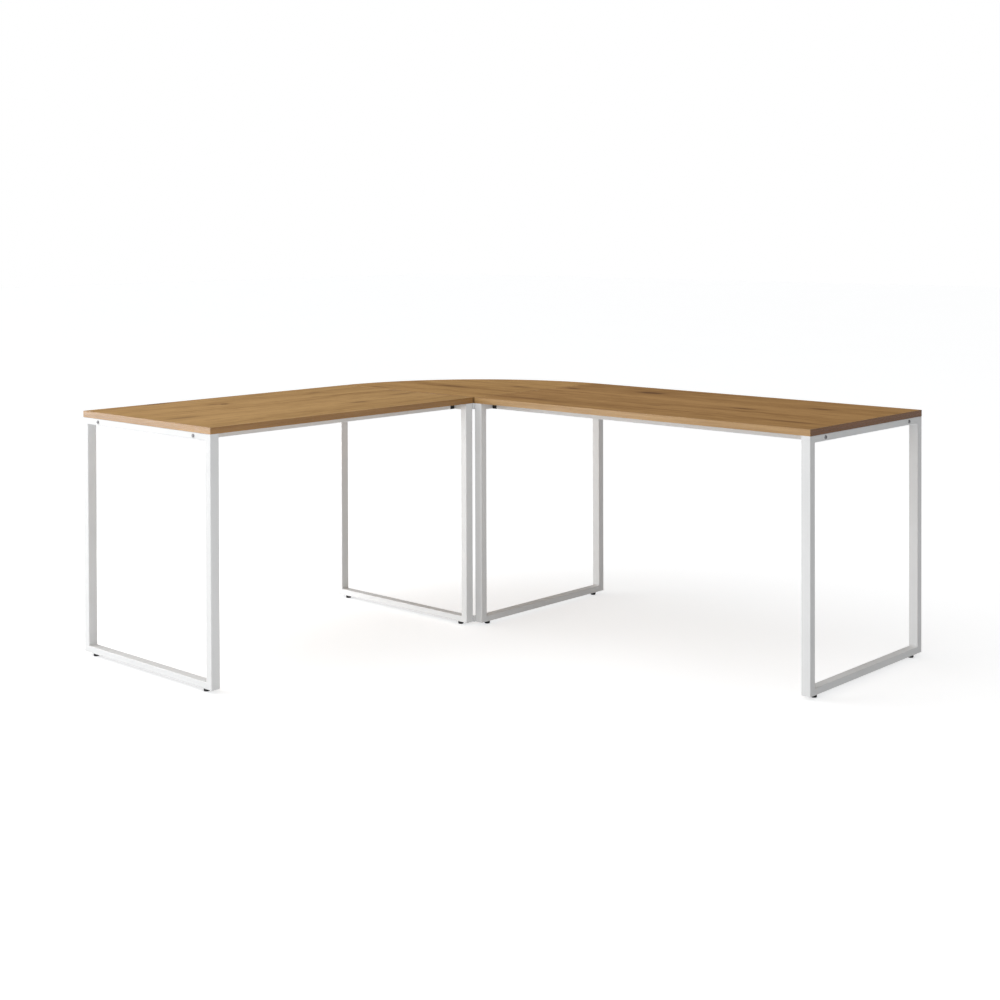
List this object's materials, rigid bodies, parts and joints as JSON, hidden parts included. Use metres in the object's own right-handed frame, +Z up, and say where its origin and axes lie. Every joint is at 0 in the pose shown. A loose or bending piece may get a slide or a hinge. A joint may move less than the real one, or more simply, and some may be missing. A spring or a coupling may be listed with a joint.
{
  "type": "corner desk",
  "caption": "L-shaped corner desk with oak-look tops, a quarter-round corner top, closed white steel tube frames and screw-adjustable levelling feet.",
  "frame": {"origin": "on the floor, in the middle of the desk's outer box", "axes": "+Z up; +X along the right wing towards its free end; the left wing runs towards -Y and the quarter-round corner is at -X, +Y"},
  "size_m": [1.9284, 1.7182, 0.754],
  "materials": {
    "oak_board": "oak-look laminate on board, satin",
    "oak_edge_band": "oak-look edge banding, satin",
    "white_powder_coat": "white fine-texture powder coat on steel",
    "black_plastic": "black moulded, fine grain",
    "dark_steel": "dark blackened steel",
    "zinc_steel": "bright zinc plated steel"
  },
  "bodies": {
    "desk": {"left_desktop": "oak_board", "left_desktop_edge_bands": "oak_edge_band", "right_desktop": "oak_board", "right_desktop_edge_bands": "oak_edge_band", "corner_desktop": "oak_board", "corner_desktop_edge_bands": "oak_edge_band", "left_inner_frame_front_leg": "white_powder_coat", "left_inner_frame_back_leg": "white_powder_coat", "left_inner_frame_top_tube": "white_powder_coat", "left_inner_frame_bottom_tube": "white_powder_coat", "left_inner_frame_bolts": "dark_steel", "left_outer_frame_front_leg": "white_powder_coat", "left_outer_frame_back_leg": "white_powder_coat", "left_outer_frame_top_tube": "white_powder_coat", "left_outer_frame_bottom_tube": "white_powder_coat", "left_outer_frame_bolts": "dark_steel", "left_wing_front_rail": "white_powder_coat", "left_wing_back_rail": "white_powder_coat", "left_wing_rail_plugs": "black_plastic", "left_wing_foot_nuts": "zinc_steel", "left_desktop_screws": "zinc_steel", "left_corner_support": "white_powder_coat", "right_inner_frame_front_leg": "white_powder_coat", "right_inner_frame_back_leg": "white_powder_coat", "right_inner_frame_top_tube": "white_powder_coat", "right_inner_frame_bottom_tube": "white_powder_coat", "right_inner_frame_bolts": "dark_steel", "right_outer_frame_front_leg": "white_powder_coat", "right_outer_frame_back_leg": "white_powder_coat", "right_outer_frame_top_tube": "white_powder_coat", "right_outer_frame_bottom_tube": "white_powder_coat", "right_outer_frame_bolts": "dark_steel", "right_wing_front_rail": "white_powder_coat", "right_wing_back_rail": "white_powder_coat", "right_wing_rail_plugs": "black_plastic", "right_wing_foot_nuts": "zinc_steel", "right_desktop_screws": "zinc_steel", "right_corner_support": "white_powder_coat", "corner_desktop_screws": "zinc_steel", "upper_joining_bracket": "white_powder_coat", "lower_joining_bracket": "white_powder_coat", "joining_bracket_screws": "zinc_steel", "corner_support_screws": "zinc_steel"},
    "left_inner_front_foot": {"left_inner_front_foot_base": "black_plastic", "left_inner_front_foot_stud": "zinc_steel"},
    "left_inner_back_foot": {"left_inner_back_foot_base": "black_plastic", "left_inner_back_foot_stud": "zinc_steel"},
    "left_outer_front_foot": {"left_outer_front_foot_base": "black_plastic", "left_outer_front_foot_stud": "zinc_steel"},
    "left_outer_back_foot": {"left_outer_back_foot_base": "black_plastic", "left_outer_back_foot_stud": "zinc_steel"},
    "right_inner_front_foot": {"right_inner_front_foot_base": "black_plastic", "right_inner_front_foot_stud": "zinc_steel"},
    "right_inner_back_foot": {"right_inner_back_foot_base": "black_plastic", "right_inner_back_foot_stud": "zinc_steel"},
    "right_outer_front_foot": {"right_outer_front_foot_base": "black_plastic", "right_outer_front_foot_stud": "zinc_steel"},
    "right_outer_back_foot": {"right_outer_back_foot_base": "black_plastic", "right_outer_back_foot_stud": "zinc_steel"}
  },
  "joints": [
    {"name": "left_inner_front_foot_height", "type": "slide", "parent": "desk", "child": "left_inner_front_foot", "axis": [0, 0, -1], "range_m": [0, 0.01]},
    {"name": "left_inner_back_foot_height", "type": "slide", "parent": "desk", "child": "left_inner_back_foot", "axis": [0, 0, -1], "range_m": [0, 0.01]},
    {"name": "left_outer_front_foot_height", "type": "slide", "parent": "desk", "child": "left_outer_front_foot", "axis": [0, 0, -1], "range_m": [0, 0.01]},
    {"name": "left_outer_back_foot_height", "type": "slide", "parent": "desk", "child": "left_outer_back_foot", "axis": [0, 0, -1], "range_m": [0, 0.01]},
    {"name": "right_inner_front_foot_height", "type": "slide", "parent": "desk", "child": "right_inner_front_foot", "axis": [0, 0, -1], "range_m": [0, 0.01]},
    {"name": "right_inner_back_foot_height", "type": "slide", "parent": "desk", "child": "right_inner_back_foot", "axis": [0, 0, -1], "range_m": [0, 0.01]},
    {"name": "right_outer_front_foot_height", "type": "slide", "parent": "desk", "child": "right_outer_front_foot", "axis": [0, 0, -1], "range_m": [0, 0.01]},
    {"name": "right_outer_back_foot_height", "type": "slide", "parent": "desk", "child": "right_outer_back_foot", "axis": [0, 0, -1], "range_m": [0, 0.01]}
  ]
}
